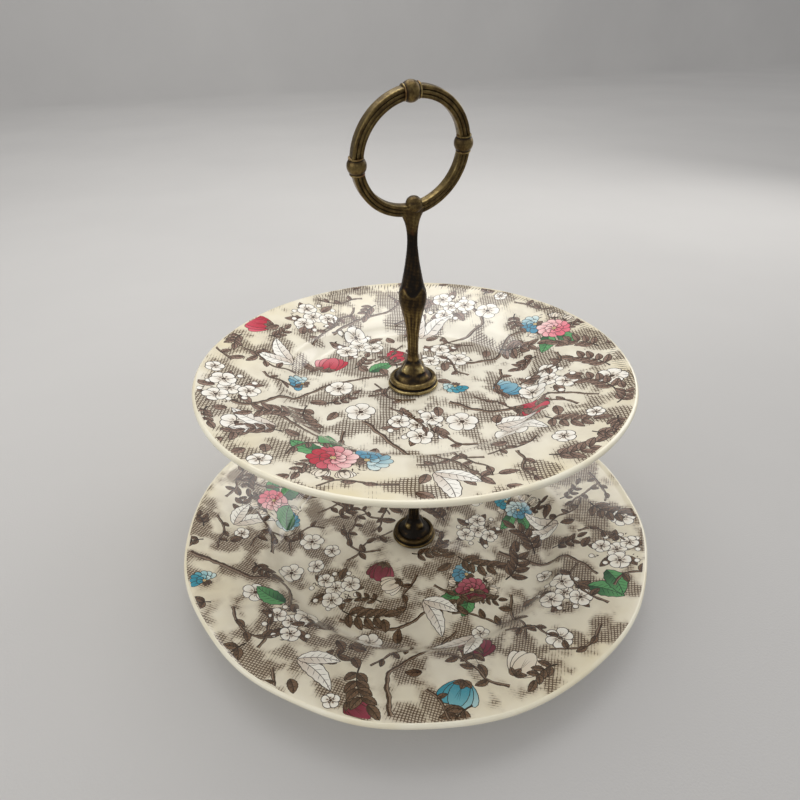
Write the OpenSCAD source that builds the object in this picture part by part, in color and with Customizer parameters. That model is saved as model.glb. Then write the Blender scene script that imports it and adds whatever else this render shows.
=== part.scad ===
// Two-tier cake stand: two dished plates on a cast spindle, with a ring handle on top.
// Origin: on the table, on the spindle's axis, at the bottom of the lower plate's foot ring.
// +Z is up, and the handle's ring lies across X.

/* [Lower plate] */
// Diameter over the rim
lower_d = 254; // [240:1:268]
// Height of the rim's top above the table
lower_rim_z = 30; // [28:0.5:33]
// Height of the well's floor above the table
lower_floor_z = 9.6; // [9.2:0.1:10.4]
// Diameter of the flat well
lower_well_d = 148; // [136:1:160]
// Width of the curve that joins the well to the rim
lower_verge_w = 13; // [9:0.5:16]
// Rise of that curve
lower_verge_h = 7.5; // [5:0.5:9]

/* [Upper plate] */
// Diameter over the rim
upper_d = 209; // [196:1:216]
// Height of the rim's top above the table
upper_rim_z = 127; // [123:0.5:130]
// Height of the well's floor above the table
upper_floor_z = 112.6; // [112:0.1:113.2]
// Diameter of the flat well
upper_well_d = 114; // [104:1:122]
// Width of the curve that joins the well to the rim
upper_verge_w = 10; // [7:0.5:13]
// Rise of that curve
upper_verge_h = 4.5; // [3:0.5:6]

/* [Plate body] */
// Thickness of the well
well_t = 4.4; // [4:0.1:4.8]
// Thickness of the rounded edge
edge_t = 3.2; // [3:0.1:4.6]
// Width of the foot ring where it meets the plate
foot_ring_w = 5; // [4:0.5:7]
// Diameter of the drilled hole in the middle
plate_hole_d = 8; // [7.6:0.1:9]

/* [Screw line] */
// Outside diameter of the screw and of the stud
thread_d = 5; // [4.8:0.1:5.1]
// Rise for one turn of the thread
thread_pitch = 0.8; // [0.7:0.05:1]
// Radial clearance of everything that turns on the thread
running_gap = 0.05; // [0.02:0.01:0.08]
// Radial clearance of the loose washers and felts
loose_gap = 0.3; // [0.3:0.05:0.6]
// Thickness of the felts and of the rubber pad
felt_t = 0.7; // [0.5:0.1:0.9]
// Diameter of the felts
felt_d = 22; // [19:0.5:23.5]
// Diameter of the domed washer
washer_d = 18; // [16:0.5:22]
// Thickness of the domed washer
washer_t = 1; // [0.8:0.1:1.1]
// Diameter of the clamp screw's head
screw_head_d = 10; // [9:0.5:12]
// Height of the clamp screw's head
screw_head_h = 2.2; // [1.8:0.1:2.4]

/* [Feet of the spindle and the handle] */
// Diameter over the lower, thin bead
foot_d = 24.8; // [23:0.2:27]
// Diameter over the upper, thick bead
foot_upper_d = 23.2; // [22:0.2:24.4]
// Height of a foot
foot_h = 5; // [4.6:0.1:5.6]
// Outside diameter of the threaded insert
insert_d = 7.6; // [7:0.1:7.8]
// Length of the threaded insert
insert_l = 10; // [9:0.5:10.5]

/* [Ring] */
// Radius of the ring's centre line
ring_r = 23.4; // [21:0.1:26]
// Height of the ring's lowest centre line above the table
ring_base_z = 199.2; // [199:0.1:200.4]
// Lean of the ring out of upright, towards -Y
ring_lean = 12; // [0:1:14]
// Turn of the ring and its beads about the ring's lowest point, in the ring's own plane
ring_turn = 6; // [0:0.5:10]
// Depth of the ring along its own axis
ring_depth = 4.4; // [4:0.1:5]
// Radius of one of the ring's three reeds
reed_r = 0.8; // [0.7:0.05:0.9]
// Radius of the beads on the ring
bead_r = 4; // [3.6:0.1:4.4]
// Length of a bead along the ring
bead_l = 5.6; // [4.8:0.2:6.2]
// Radius of the ball where the ring meets the stem
boss_r = 3.8; // [3.4:0.1:4.2]

/* [Hidden] */

$fn = 64;
cut = 0.01;                                  // overlap of a cutting solid past a face
turns = 10;                                  // turns that free the handle from the stud
thread_r = thread_d / 2;
bore_r = thread_r + running_gap;
loose_r = thread_r + loose_gap;
insert_r = insert_d / 2;
plate_hole_r = plate_hole_d / 2;
collar_h = 4;
collar_d = 24;
slot_w = 1.2;
slot_depth = 1.2;
stud_depth = 12;                             // length of stud screwed into the spindle
reed_pitch = 2 * reed_r - 0.05;
boss_offset = [0.5, -0.6, 1.8];              // the ball's middle from the ring's lowest point

// Levels along the axis, from the table up
lower_under_z = lower_floor_z - well_t;
pad_z = lower_under_z - felt_t;
washer_z = pad_z - washer_t;
spindle_z = lower_floor_z + felt_t;
spindle_stem_z = spindle_z + foot_h;
upper_under_z = upper_floor_z - well_t;
collar_top_z = upper_under_z - felt_t;
collar_z = collar_top_z - collar_h;
handle_z = upper_floor_z + felt_t;
handle_stem_z = handle_z + foot_h;
stud_top_z = handle_z + turns * thread_pitch + 1;
stem_length = ring_base_z - handle_stem_z;

// Forms of the two castings: height as a part of the length, half width, depth of the four
// flutes as a part of the half width, and width over depth
handle_form = [
    [0, 10.2, 0.00, 1], [0.04, 7.5, 0.08, 1], [0.08, 5.3, 0.12, 1], [0.12, 3.3, 0.14, 1],
    [0.18, 2.9, 0.14, 1], [0.31, 3.6, 0.12, 1], [0.42, 5.3, 0.08, 1], [0.52, 6.4, 0.05, 1],
    [0.61, 5.1, 0.08, 1], [0.71, 3.6, 0.12, 1], [0.82, 2.6, 0.14, 1], [0.91, 3.4, 0.12, 1.1],
    [0.97, 5.4, 0.08, 1.5], [1, 6.6, 0.05, 1.8]
];
spindle_form = [
    [0, 10.2, 0.00, 1], [0.035, 7.5, 0.08, 1], [0.07, 5.4, 0.12, 1], [0.11, 3.9, 0.14, 1],
    [0.17, 3.5, 0.14, 1], [0.28, 3.9, 0.12, 1], [0.38, 5.4, 0.08, 1], [0.47, 6.6, 0.05, 1],
    [0.56, 5.4, 0.08, 1], [0.66, 3.9, 0.12, 1], [0.78, 3.3, 0.14, 1], [0.89, 4.1, 0.08, 1],
    [0.96, 5.2, 0.04, 1], [1, 5.8, 0.00, 1]
];
flute_turn = 65;                             // turn of the flutes away from the ring's own axes
stem_sides = 24;
stem_steps = 2;                              // rings of points from one station to the next

function clamp01(t) = min(1, max(0, t));
function ease(t) = let (u = clamp01(t)) u * u * (3 - 2 * u);

// Height of a plate's top face at radius r
function plate_top(r, well_r, verge_w, verge_h, floor_z, rim_z, rim_r) =
    let (rim_in = well_r + verge_w / 3)
    floor_z + verge_h * ease((r - well_r) / verge_w)
    + (rim_z - floor_z - verge_h) * clamp01((r - rim_in) / (rim_r - rim_in));

// Smooth curve through a form's stations, by Hermite spans
function slope(form, i, k) =
    let (a = max(0, i - 1), b = min(len(form) - 1, i + 1))
    (form[b][k] - form[a][k]) / (form[b][0] - form[a][0]);
function span(form, i, k, t) =
    let (h = form[i + 1][0] - form[i][0], t2 = t * t, t3 = t2 * t)
    (2 * t3 - 3 * t2 + 1) * form[i][k] + (t3 - 2 * t2 + t) * h * slope(form, i, k)
    + (3 * t2 - 2 * t3) * form[i + 1][k] + (t3 - t2) * h * slope(form, i + 1, k);

// One ring of points round a fluted stem
function stem_ring(z, half_w, flute, ratio) = [
    for (j = [0 : stem_sides - 1])
    let (a = 360 * j / stem_sides, r = half_w * (1 - flute * (1 + cos(4 * (a - flute_turn))) / 2))
    [r * cos(a), r * sin(a) / ratio, z]
];

module lofted_stem(form, length) {
    last = len(form) - 2;
    rings = concat(
        [for (i = [0 : last], s = [0 : stem_steps - 1])
            let (t = s / stem_steps)
            stem_ring(length * (form[i][0] + t * (form[i + 1][0] - form[i][0])),
                span(form, i, 1, t), span(form, i, 2, t), span(form, i, 3, t))],
        [stem_ring(length, form[last + 1][1], form[last + 1][2], form[last + 1][3])]);
    top = len(rings) - 1;
    faces = concat(
        [[for (j = [0 : stem_sides - 1]) j]],
        [for (i = [0 : top - 1], j = [0 : stem_sides - 1])
            let (k = (j + 1) % stem_sides)
            [i * stem_sides + j, (i + 1) * stem_sides + j,
                (i + 1) * stem_sides + k, i * stem_sides + k]],
        [[for (j = [0 : stem_sides - 1]) top * stem_sides + stem_sides - 1 - j]]);
    polyhedron(points = [for (ring = rings) each ring], faces = faces, convexity = 6);
}

// A dished plate with a rounded edge and a foot ring, drilled in the middle
module plate(d, well_d, verge_w, verge_h, floor_z, rim_z, foot_bottom_z) {
    rim_r = d / 2 - edge_t / 2;
    well_r = well_d / 2;
    under_z = floor_z - well_t;
    steps = 16;
    radii = [for (i = [0 : steps]) well_r + (rim_r - well_r) * i / steps];
    top = [for (r = radii) [r, plate_top(r, well_r, verge_w, verge_h, floor_z, rim_z, rim_r)]];
    under = [for (i = [0 : steps]) [radii[i], top[i][1] - well_t + (well_t - edge_t) * i / steps]];
    edge = [for (a = [75 : -15 : -75]) [rim_r, rim_z - edge_t / 2] + edge_t / 2 * [cos(a), sin(a)]];
    foot_in = well_r - foot_ring_w;
    foot_ring = [[well_r - 1, foot_bottom_z + 0.6], [well_r - 1.6, foot_bottom_z],
        [foot_in + 1.6, foot_bottom_z], [foot_in + 1, foot_bottom_z + 0.6], [foot_in, under_z]];
    rotate_extrude($fn = 128)
        polygon(concat([[plate_hole_r, floor_z]], top, edge,
            [for (i = [steps : -1 : 0]) under[i]], foot_ring, [[plate_hole_r, under_z]]));
}

// A flat round washer that stands on z
module disc(z, h, d, hole_r) {
    translate([0, 0, z]) difference() {
        cylinder(h = h, d = d);
        translate([0, 0, -cut]) cylinder(h = h + 2 * cut, r = hole_r);
    }
}

// A foot: thin bead, hollow, thick bead, and a sunk top that takes the stem's bell
module foot(z, hole_r) {
    thin_r = 0.9;
    thick_r = 1.5;
    translate([0, 0, z]) difference() {
        rotate_extrude() {
            square([foot_d / 2 - thin_r, foot_h]);
            translate([foot_d / 2 - thin_r, thin_r]) circle(thin_r, $fn = 32);
            translate([foot_upper_d / 2 - thick_r, foot_h - thick_r]) circle(thick_r, $fn = 32);
        }
        rotate_extrude() translate([foot_d / 2 - 0.35, 2 * thin_r + 0.35]) circle(0.7, $fn = 32);
        difference() {
            translate([0, 0, foot_h - thick_r]) cylinder(h = 2 * thick_r, d = foot_d + 1);
            cylinder(h = foot_h, d = foot_upper_d - 2 * thick_r);
            rotate_extrude() translate([foot_upper_d / 2 - thick_r, foot_h - thick_r])
                circle(thick_r, $fn = 32);
        }
        translate([0, 0, -cut]) cylinder(h = foot_h + 2 * cut, r = hole_r);
    }
}

module insert(z) {
    disc(z, insert_l, insert_d, bore_r);
}

// Places its children in the ring's own plane, with the ring's axis along Z
module at_ring() {
    translate([0, 0, ring_base_z]) rotate([ring_lean, 0, 0]) rotate([0, -ring_turn, 0])
        translate([0, 0, ring_r]) rotate([90, 0, 0]) children();
}

module reeded_ring() {
    at_ring() rotate_extrude($fn = 128) for (k = [-1 : 1]) translate([ring_r + k * reed_pitch, 0]) {
        square([2 * reed_r, ring_depth - 2 * reed_r], center = true);
        for (side = [-1, 1]) translate([0, side * (ring_depth / 2 - reed_r)]) circle(reed_r, $fn = 32);
    }
}

module bead() {
    collar_r = 3.1;
    collar_l = 7;
    intersection() {
        sphere(bead_r);
        cube([3 * bead_r, 3 * bead_r, bead_l], center = true);
    }
    cylinder(h = collar_l, r = collar_r, center = true);
}

module lower_plate() {
    color("ivory") plate(lower_d, lower_well_d, lower_verge_w, lower_verge_h, lower_floor_z,
        lower_rim_z, 0);
}

module lower_bush() {
    color("whitesmoke") disc(lower_under_z, well_t, plate_hole_d, bore_r);
}

module lower_under_pad() {
    color("dimgray") disc(pad_z, felt_t, felt_d, loose_r);
}

module lower_washer() {
    color("silver") translate([0, 0, washer_z]) rotate_extrude()
        polygon([[loose_r, 0], [washer_d / 3, 0], [washer_d / 2, washer_t / 2],
            [washer_d / 2, washer_t], [loose_r, washer_t]]);
}

module clamp_screw() {
    head_z = washer_z - screw_head_h;
    color("silver") difference() {
        union() {
            translate([0, 0, head_z]) cylinder(h = screw_head_h, d = screw_head_d);
            translate([0, 0, head_z]) cylinder(h = spindle_z + insert_l - 1 - head_z, r = thread_r);
        }
        translate([-screw_head_d, -slot_w / 2, head_z - cut])
            cube([2 * screw_head_d, slot_w, slot_depth + cut]);
    }
}

module lower_felt() {
    color("saddlebrown") disc(lower_floor_z, felt_t, felt_d, loose_r);
}

module spindle_foot() {
    color("darkgoldenrod") foot(spindle_z, insert_r);
}

module spindle_insert() {
    color("goldenrod") insert(spindle_z);
}

module spindle_stem() {
    color("darkgoldenrod") difference() {
        translate([0, 0, spindle_stem_z]) lofted_stem(spindle_form, collar_z - spindle_stem_z);
        translate([0, 0, spindle_z]) cylinder(h = insert_l, r = insert_r);
        translate([0, 0, collar_z - stud_depth]) cylinder(h = stud_depth + cut, r = thread_r);
    }
}

module spindle_collar() {
    lip_r = 1;
    color("darkgoldenrod") translate([0, 0, collar_z]) difference() {
        rotate_extrude() {
            polygon([[0, 0], [6.4, 0], [8, 1.2], [collar_d / 2 - lip_r, collar_h - 2 * lip_r],
                [collar_d / 2 - lip_r, collar_h], [0, collar_h]]);
            translate([collar_d / 2 - lip_r, collar_h - lip_r]) circle(lip_r, $fn = 32);
        }
        translate([0, 0, -cut]) cylinder(h = collar_h + 2 * cut, r = thread_r);
    }
}

module spindle_stud() {
    color("silver") translate([0, 0, collar_z - stud_depth])
        cylinder(h = stud_top_z - collar_z + stud_depth, r = thread_r);
}

module upper_under_felt() {
    color("saddlebrown") disc(collar_top_z, felt_t, felt_d, loose_r);
}

module upper_plate() {
    foot_ring_h = 3.8;
    color("ivory") plate(upper_d, upper_well_d, upper_verge_w, upper_verge_h, upper_floor_z,
        upper_rim_z, upper_under_z - foot_ring_h);
}

module upper_bush() {
    color("whitesmoke") disc(upper_under_z, well_t, plate_hole_d, bore_r);
}

module upper_felt() {
    color("saddlebrown") disc(upper_floor_z, felt_t, felt_d, loose_r);
}

module handle_foot() {
    color("darkgoldenrod") foot(handle_z, insert_r + running_gap);
}

module handle_insert() {
    color("goldenrod") insert(handle_z);
}

module handle_stem() {
    color("darkgoldenrod") difference() {
        translate([0, 0, handle_stem_z]) lofted_stem(handle_form, stem_length);
        translate([0, 0, handle_z]) cylinder(h = insert_l, r = insert_r);
        reeded_ring();
        boss_ball();
    }
}

module boss_ball() {
    translate([0, 0, ring_base_z]) translate(boss_offset) sphere(boss_r);
}

module ring_boss() {
    color("darkgoldenrod") difference() {
        boss_ball();
        reeded_ring();
    }
}

module handle_ring() {
    color("darkgoldenrod") reeded_ring();
}

module ring_beads() {
    color("darkgoldenrod") difference() {
        at_ring() for (a = [0, 90, 180]) rotate(a) translate([ring_r, 0, 0])
            rotate([90, 0, 0]) bead();
        reeded_ring();
    }
}

lower_plate();
lower_bush();
lower_under_pad();
lower_washer();
clamp_screw();
lower_felt();
spindle_foot();
spindle_insert();
spindle_stem();
spindle_collar();
spindle_stud();
upper_under_felt();
upper_plate();
upper_bush();
upper_felt();
handle_foot();
handle_insert();
handle_stem();
ring_boss();
handle_ring();
ring_beads();
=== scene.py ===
import math
import random

import bmesh
import bpy
import numpy as np
from mathutils import Matrix, Vector, noise
from mathutils.geometry import delaunay_2d_cdt
from mathutils.kdtree import KDTree


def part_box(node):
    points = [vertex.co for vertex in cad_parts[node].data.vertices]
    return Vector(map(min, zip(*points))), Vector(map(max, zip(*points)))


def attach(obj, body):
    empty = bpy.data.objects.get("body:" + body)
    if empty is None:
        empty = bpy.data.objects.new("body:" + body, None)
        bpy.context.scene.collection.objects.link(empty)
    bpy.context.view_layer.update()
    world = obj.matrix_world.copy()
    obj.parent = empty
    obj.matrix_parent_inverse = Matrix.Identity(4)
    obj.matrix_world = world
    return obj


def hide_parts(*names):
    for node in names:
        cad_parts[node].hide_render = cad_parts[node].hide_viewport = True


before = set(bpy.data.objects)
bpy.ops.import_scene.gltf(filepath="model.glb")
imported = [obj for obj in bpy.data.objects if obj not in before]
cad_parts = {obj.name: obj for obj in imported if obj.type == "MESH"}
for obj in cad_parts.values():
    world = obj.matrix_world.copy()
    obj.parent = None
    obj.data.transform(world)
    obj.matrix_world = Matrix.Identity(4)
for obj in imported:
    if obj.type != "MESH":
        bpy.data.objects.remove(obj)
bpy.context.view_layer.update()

# ---------------------------------------------------------------- table, light and camera
# The stand is shown on a plain pale cloth in a light tent. White cloth on all sides makes
# the light soft and even, with one brighter panel overhead and one at each side.


def dye(red, green, blue):
    """A colour as the eye reads it, 0 to 255, in the linear values that a shader takes."""
    return tuple((c / 255 / 12.92) if c < 11 else ((c / 255 + 0.055) / 1.055) ** 2.4
                 for c in (red, green, blue)) + (1.0,)


class Tone:
    """A value that changes over a surface. Sums on it become maths in its material."""

    def __init__(self, finish, socket):
        self.finish, self.socket = finish, socket

    def _maths(self, how, *terms):
        return self.finish.node("ShaderNodeMath", {"operation": how}, dict(enumerate(terms)))

    def __add__(self, other):
        return self._maths("ADD", self, other)

    def __sub__(self, other):
        return self._maths("SUBTRACT", self, other)

    def __rsub__(self, other):
        return self._maths("SUBTRACT", other, self)

    def __mul__(self, other):
        return self._maths("MULTIPLY", self, other)

    def __abs__(self):
        return self._maths("ABSOLUTE", self)

    def part(self):
        return self._maths("FRACT", self)

    def held(self):
        return self.finish.node("ShaderNodeClamp", {}, {0: self, 1: 0.0, 2: 1.0})

    __radd__ = __add__
    __rmul__ = __mul__


class Finish:
    """A material, and one way to add any node to it."""

    def __init__(self, name):
        self.material = bpy.data.materials.new(name)
        self.material.use_nodes = True
        self.tree = self.material.node_tree
        self.shader = self.tree.nodes["Principled BSDF"]

    def feed(self, socket, value):
        if isinstance(value, Tone):
            self.tree.links.new(value.socket, socket)
        else:
            socket.default_value = value

    def node(self, kind, settings, sockets, out=0):
        made = self.tree.nodes.new(kind)
        for key, value in settings.items():
            if key == "stops":
                stops = made.color_ramp.elements
                while len(stops) < len(value):
                    stops.new(0.5)
                for stop, (place, colour) in zip(stops, value):
                    stop.position, stop.color = place, colour
            else:
                setattr(made, key, value)
        for key, value in sockets.items():
            self.feed(made.inputs[key], value)
        return Tone(self, made.outputs[out])

    def place(self):
        return self.node("ShaderNodeTexCoord", {}, {}, "Object")

    def cloud(self, scale, detail=3.0, rough=0.5, at=None):
        return self.node("ShaderNodeTexNoise", {}, {"Vector": at or self.place(), "Scale": scale,
                                                    "Detail": detail, "Roughness": rough})

    def mark(self, name, out="Fac"):
        return self.node("ShaderNodeAttribute", {"attribute_name": name}, {}, out)

    def mix(self, first, second, share):
        return self.node("ShaderNodeMix", {"data_type": "RGBA"}, {0: share, 6: first, 7: second}, 2)

    def bumps(self, height, depth_mm, strength=1.0):
        return self.node("ShaderNodeBump", {}, {"Height": height, "Distance": depth_mm / 1000,
                                                "Strength": strength})

    def surface(self, sockets):
        for key, value in sockets.items():
            self.feed(self.shader.inputs[key], value)
        return self.material


cloth = Finish("pale_table_cloth")
weave = cloth.cloud(900.0, 2.0)
# large soft patches where the cloth is painted a little darker: painted shade of folds that the flat sheet
# doesn't have
fold_shade = cloth.cloud(2.2, 4.0, 0.55)
cloth.surface({
    "Base Color": cloth.mix(dye(211, 208, 203), dye(197, 194, 190), fold_shade),
    "Roughness": 0.9,
    "Normal": cloth.bumps(weave, 0.2, 0.3),
})
bpy.ops.object.select_all(action="DESELECT")
bpy.ops.mesh.primitive_plane_add(size=1)
table = bpy.context.object
table.name = "table"
bpy.ops.object.mode_set(mode="EDIT")
bpy.ops.transform.resize(value=(40, 16, 1))
bpy.ops.transform.translate(value=(0, -5, 0))
bpy.ops.mesh.select_all(action="DESELECT")
sheet_mesh = bmesh.from_edit_mesh(table.data)
for edge in sheet_mesh.edges:
    edge.select = all(v.co.y > 2.5 for v in edge.verts)
sheet_mesh.select_flush(True)
bpy.ops.mesh.extrude_edges_move(TRANSFORM_OT_translate={"value": (0, 0, 6)})
bpy.ops.mesh.select_all(action="DESELECT")
for edge in sheet_mesh.edges:
    edge.select = all(v.co.y > 2.5 and v.co.z < 0.1 for v in edge.verts)
bpy.ops.mesh.bevel(offset=1.6, segments=24)
bpy.ops.object.mode_set(mode="OBJECT")
bpy.ops.object.shade_smooth()
table.data.materials.append(cloth.material)

tent = bpy.data.worlds.new("light_tent")
bpy.context.scene.world = tent
tent.use_nodes = True
tent.node_tree.nodes["Background"].inputs["Color"].default_value = (0.86, 0.87, 0.90, 1)
tent.node_tree.nodes["Background"].inputs["Strength"].default_value = 0.62

for panel, place, aim, size, power in (
        ("overhead", (0.0, 0.25, 0.95), (0, 0, 0.1), 0.9, 5.5),
        ("left_side", (-0.9, -0.15, 0.55), (0, 0, 0.1), 0.7, 1.9),
        ("right_side", (0.95, 0.2, 0.6), (0, 0, 0.1), 0.7, 3.1),
        ("backdrop", (0.3, 0.9, 1.7), (0.9, 2.6, 0.9), 1.5, 13)):
    bpy.ops.object.light_add(type="AREA", location=place)
    lamp = bpy.context.object
    lamp.name = "light_" + panel
    lamp.data.shape, lamp.data.size, lamp.data.energy = "SQUARE", size, power
    lamp.rotation_euler = (Vector(aim) - Vector(place)).to_track_quat("-Z", "Y").to_euler()

bpy.ops.object.camera_add()
camera = bpy.context.object
camera.matrix_world = (Matrix.Translation((-0.1116, -0.2341, 0.2650))
                       @ Matrix.Rotation(math.radians(-24), 4, "Z")
                       @ Matrix.Rotation(math.radians(58.1), 4, "X")
                       @ Matrix.Rotation(math.radians(-1.12), 4, "Z"))
camera.data.lens, camera.data.sensor_width, camera.data.clip_start = 27, 36, 0.01
bpy.context.scene.camera = camera
bpy.context.scene.view_settings.view_transform = "Standard"

# ---------------------------------------------------------------- lower plate
# A ten inch plate of cream earthenware, pressed over a mould, printed all over with a brown
# transfer of flowers, tinted by hand, then glazed. Its well is drilled for the screw.


def turned(name, outline, sides, body, finish, closed=False, smooth=40):
    """A part turned about the spindle's axis. outline runs (radius, height) in millimetres,
    from one end to the other, or round to its start where the part is closed on itself."""
    bpy.ops.object.select_all(action="DESELECT")
    bpy.ops.mesh.primitive_circle_add(vertices=3, radius=0.001)
    piece = bpy.context.object
    piece.name = name
    bpy.ops.object.mode_set(mode="EDIT")
    bpy.ops.mesh.select_mode(type="VERT")
    bpy.ops.mesh.merge(type="CENTER")
    bpy.ops.transform.translate(value=(outline[0][0] / 1000, 0, outline[0][1] / 1000))
    r, z = outline[0]
    for next_r, next_z in list(outline[1:]) + ([outline[0]] if closed else []):
        bpy.ops.mesh.extrude_vertices_move(
            TRANSFORM_OT_translate={"value": ((next_r - r) / 1000, 0, (next_z - z) / 1000)})
        r, z = next_r, next_z
    bpy.ops.mesh.select_all(action="SELECT")
    bpy.ops.mesh.spin(steps=sides, angle=2 * math.pi, center=(0, 0, 0), axis=(0, 0, 1))
    bpy.ops.mesh.select_all(action="SELECT")
    bpy.ops.mesh.remove_doubles(threshold=2e-6)
    if not closed:
        bpy.ops.mesh.fill_holes(sides=0)
    bpy.ops.mesh.select_all(action="SELECT")
    bpy.ops.mesh.normals_make_consistent(inside=False)
    bpy.ops.object.mode_set(mode="OBJECT")
    bpy.ops.object.shade_smooth_by_angle(angle=math.radians(smooth))
    dress(piece, body, finish)
    return piece


def dress(piece, body, finish):
    piece.data.materials.append(finish.material)
    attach(piece, body)


def shaped(piece, shift):
    """Moves a piece's points in code: shift takes and gives x, y and z in millimetres."""
    points = np.empty(len(piece.data.vertices) * 3)
    piece.data.vertices.foreach_get("co", points)
    x, y, z = points.reshape(-1, 3).T * 1000
    piece.data.vertices.foreach_set("co", (np.stack(shift(x, y, z), 1) / 1000).ravel())
    piece.data.update()


def ease(t):
    t = np.clip(t, 0, 1)
    return t * t * (3 - 2 * t)


class PlateForm:
    """The sizes of one dished plate, in millimetres."""

    def __init__(self, node, well_r, verge_w, verge_h, floor_z, lobes, lobe_depth):
        low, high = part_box(node)
        self.hole_r, self.well_t, self.edge_t = 4, 4.4, 3.2
        self.rim_r, self.rim_z = high.x * 1000 - self.edge_t / 2, high.z * 1000
        self.foot_z = low.z * 1000
        self.well_r, self.verge_w, self.verge_h, self.floor_z = well_r, verge_w, verge_h, floor_z
        self.lobes, self.lobe_depth = lobes, lobe_depth

    def top(self, r):
        rim_in = self.well_r + self.verge_w / 3
        return (self.floor_z + self.verge_h * ease((r - self.well_r) / self.verge_w)
                + (self.rim_z - self.floor_z - self.verge_h)
                * np.clip((r - rim_in) / (self.rim_r - rim_in), 0, 1))

    def under(self, r):
        slope = (r - self.well_r) / (self.rim_r - self.well_r)
        return self.top(r) - self.well_t + (self.well_t - self.edge_t) * np.clip(slope, 0, 1)

    def outline(self):
        """The plate's section, from the rim round the edge, foot ring and hole, back to the rim."""
        half = self.edge_t / 2
        edge = [(self.rim_r + half * math.cos(a), self.rim_z - half + half * math.sin(a))
                for a in np.radians(np.arange(82, -83, -12))]
        under = [(r, float(self.under(r))) for r in np.linspace(self.rim_r, self.well_r, 20)]
        w, z = self.well_r, self.foot_z
        foot = [(w - 0.5, z + 0.6 + 0.45 * (under[-1][1] - z)), (w - 1, z + 0.6), (w - 1.6, z),
                (w - 3.4, z), (w - 4, z + 0.6), (w - 5, under[-1][1] - 0.6), (w - 6, under[-1][1])]
        below = [(r, under[-1][1]) for r in (w * 0.7, w * 0.4, self.hole_r)]
        core = [(r, float(self.top(r)) - 0.5)
                for r in np.linspace(self.hole_r + 1, self.rim_r - 1.5, 60)]
        return ([(self.rim_r, self.rim_z)] + edge + under + foot + below
                + [(self.hole_r, self.floor_z)] + core)

    def settle(self, x, y, z):
        """The slow lobes of a rim that was pressed and trimmed by hand."""
        r, a = np.hypot(x, y), np.arctan2(y, x)
        wave = 0.5 - 0.5 * np.cos(self.lobes * a + 0.6 * np.sin(3 * a + 1) + 0.8)
        pull = 1 - self.lobe_depth * wave * ease((r - self.well_r) / (self.rim_r - self.well_r)) / r
        return x * pull, y * pull, z


def glaze(name, stain, hatches):
    """Cream glaze over a brown print. Each hatch is a set of engraved lines: its turn in
    degrees, its pitch in millimetres, and the channel of the drift mark that brings it in."""
    finish = Finish(name)
    at = finish.place()
    # the body: cream, yellower where tea and age have stained the rim
    patches = finish.cloud(24.0, 4.0, 0.6)
    age = ((patches - 0.34) * 2.4 * finish.mark("rim") * stain).held()
    colour = finish.mix(dye(240, 232, 211), dye(220, 202, 152), age)
    colour = finish.mix(colour, dye(226, 222, 208), (finish.cloud(9.0, 2.0) * 0.5).held())
    # the engraved hatching
    drift = finish.mark("drift", "Color")
    grain = finish.cloud(900.0, 2.0)
    tremble = finish.cloud(55.0, 2.0)
    lines = None
    for turn, pitch, channel in hatches:
        weight = finish.node("ShaderNodeSeparateColor", {}, {0: drift}, channel)
        across = finish.node("ShaderNodeVectorMath", {"operation": "DOT_PRODUCT"},
                             {0: at, 1: (math.cos(math.radians(turn)) * 1000 / pitch,
                                         math.sin(math.radians(turn)) * 1000 / pitch, 0)}, "Value")
        ridge = abs((across + tremble * 1.6).part() - 0.5) * 2
        thick = ((weight + (grain - 0.5) * 0.8) * 1.5 - 0.45).held() * 0.50
        stroke = ((thick - ridge) * 4.5).held()
        lines = stroke if lines is None else (lines + stroke).held()
    wash = finish.node("ShaderNodeSeparateColor", {}, {0: drift}, 2) * (0.35 + grain * 0.8)
    colour = finish.mix(colour, dye(136, 108, 80), wash.held())
    colour = finish.mix(colour, dye(72, 50, 34), lines * 0.88)
    # the drawn and tinted flowers
    worn = (0.88 + grain * 0.26).held()
    colour = finish.mix(colour, finish.mark("ink", "Color"), finish.mark("ink", "Alpha") * worn)
    finish.surface({
        "Base Color": colour,
        "Roughness": (0.13 + patches * 0.10).held(),
        "Coat Weight": 0.5, "Coat Roughness": 0.05,
        "Normal": finish.bumps(finish.cloud(90.0, 3.0), 0.5, 0.10),
    })
    return finish


WHITE, CREAM = (248, 244, 233), (226, 212, 190)
LINE, BARK, TWIG = (44, 31, 22), (112, 88, 70), (70, 50, 36)
GREEN, GREEN_SHADE, GREEN_LINE = (92, 156, 98), (30, 78, 48), (30, 56, 38)
CARMINE, PINK, PALE_PINK = (184, 36, 58), (226, 112, 128), (244, 208, 202)
BURGUNDY, ROSE = (112, 30, 50), (186, 96, 112)
BLUE, PALE_BLUE, TURQUOISE = (84, 146, 172), (214, 228, 222), (50, 144, 164)


def way(angle):
    return np.exp(1j * angle)


def polar(r, degrees):
    return r * way(math.radians(degrees))


def round_outline(at, r, steps):
    return at + r * np.exp(2j * np.pi * np.arange(steps) / steps)


def grown(points, by):
    """A closed outline moved outwards all round."""
    run = np.roll(points, -1) - np.roll(points, 1)
    return points - 1j * by * run / np.maximum(np.abs(run), 1e-9)


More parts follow.
